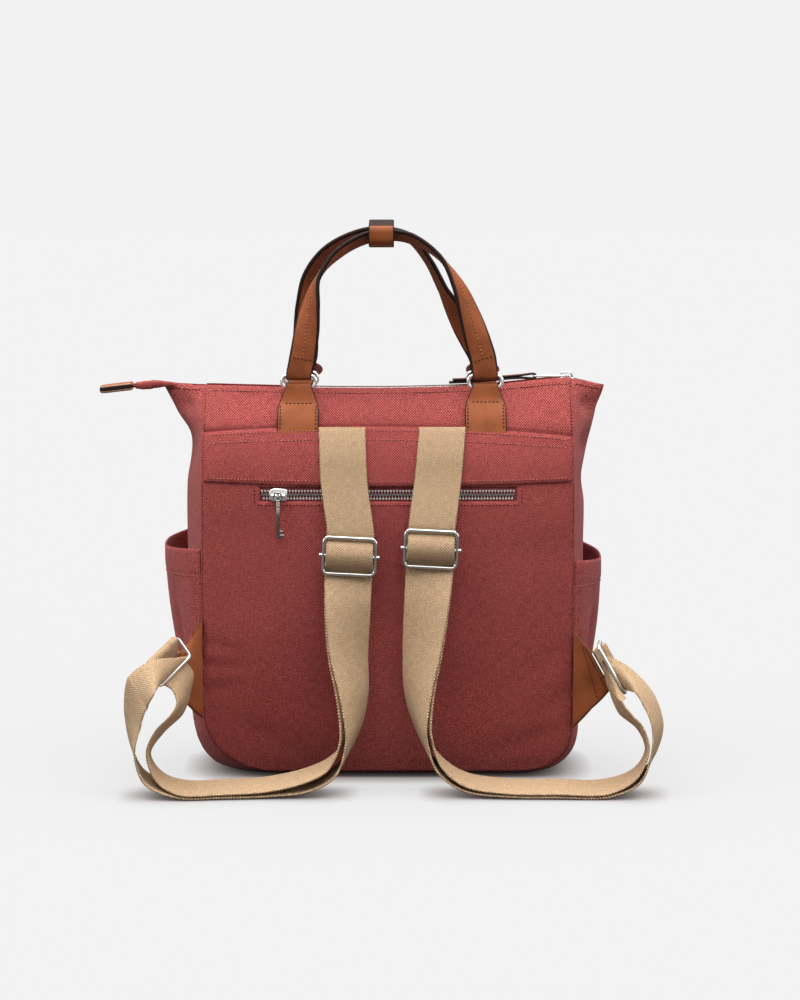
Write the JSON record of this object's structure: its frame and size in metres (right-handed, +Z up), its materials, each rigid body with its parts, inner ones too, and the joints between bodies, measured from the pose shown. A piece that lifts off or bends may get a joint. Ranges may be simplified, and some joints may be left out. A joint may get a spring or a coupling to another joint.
{
  "type": "backpack",
  "caption": "Soft canvas backpack with a zipped top pinched into side wings, webbing shoulder straps, leather carrying handles, open side pockets and a zipped back pocket.",
  "frame": {"origin": "on the floor, in the middle of the flat base", "axes": "+Z up, -Y out of the strap side, +X to the right when looking at the strap side"},
  "size_m": [0.4644, 0.2106, 0.46],
  "materials": {
    "canvas": "dusty rose woven canvas",
    "leather": "smooth tan leather with dark painted edges",
    "webbing": "beige cotton webbing",
    "zip_tape": "dark red zip tape",
    "nickel": "polished nickel"
  },
  "bodies": {
    "bag": {"back_panel": "canvas", "front_panel": "canvas", "gusset": "canvas", "yoke_band": "canvas", "pocket_zip_tape": "zip_tape", "pocket_zip_chain": "nickel", "pocket_zip_slider": "nickel", "top_zip_tape": "zip_tape", "top_zip_chain": "nickel", "top_zip_slider": "nickel", "top_zip_link": "nickel", "top_zip_pull": "leather", "zip_tail": "canvas", "zip_tail_tab": "leather", "side_pocket_left": "canvas", "handle_tab_back_left": "leather", "handle_tab_front_left": "leather", "handle_ring_back_left": "nickel", "handle_ring_front_left": "nickel", "handle_patch_left": "leather", "shoulder_strap_left": "webbing", "strap_slider_left": "nickel", "corner_tab_left": "leather", "corner_loop_left": "webbing", "corner_ring_left": "nickel", "side_pocket_right": "canvas", "handle_tab_back_right": "leather", "handle_tab_front_right": "leather", "handle_ring_back_right": "nickel", "handle_ring_front_right": "nickel", "handle_patch_right": "leather", "shoulder_strap_right": "webbing", "strap_slider_right": "nickel", "corner_tab_right": "leather", "corner_loop_right": "webbing", "corner_ring_right": "nickel", "handle_back": "leather", "handle_front": "leather", "handle_keeper": "leather"},
    "pocket_pull": {"pocket_zip_pull": "nickel"}
  },
  "joints": [
    {"name": "pocket_pull_hinge", "type": "hinge", "parent": "bag", "child": "pocket_pull", "pos_m": [-0.089, -0.06762, 0.2365], "axis": [-1, 0, 0], "range_deg": [0, 150]}
  ]
}
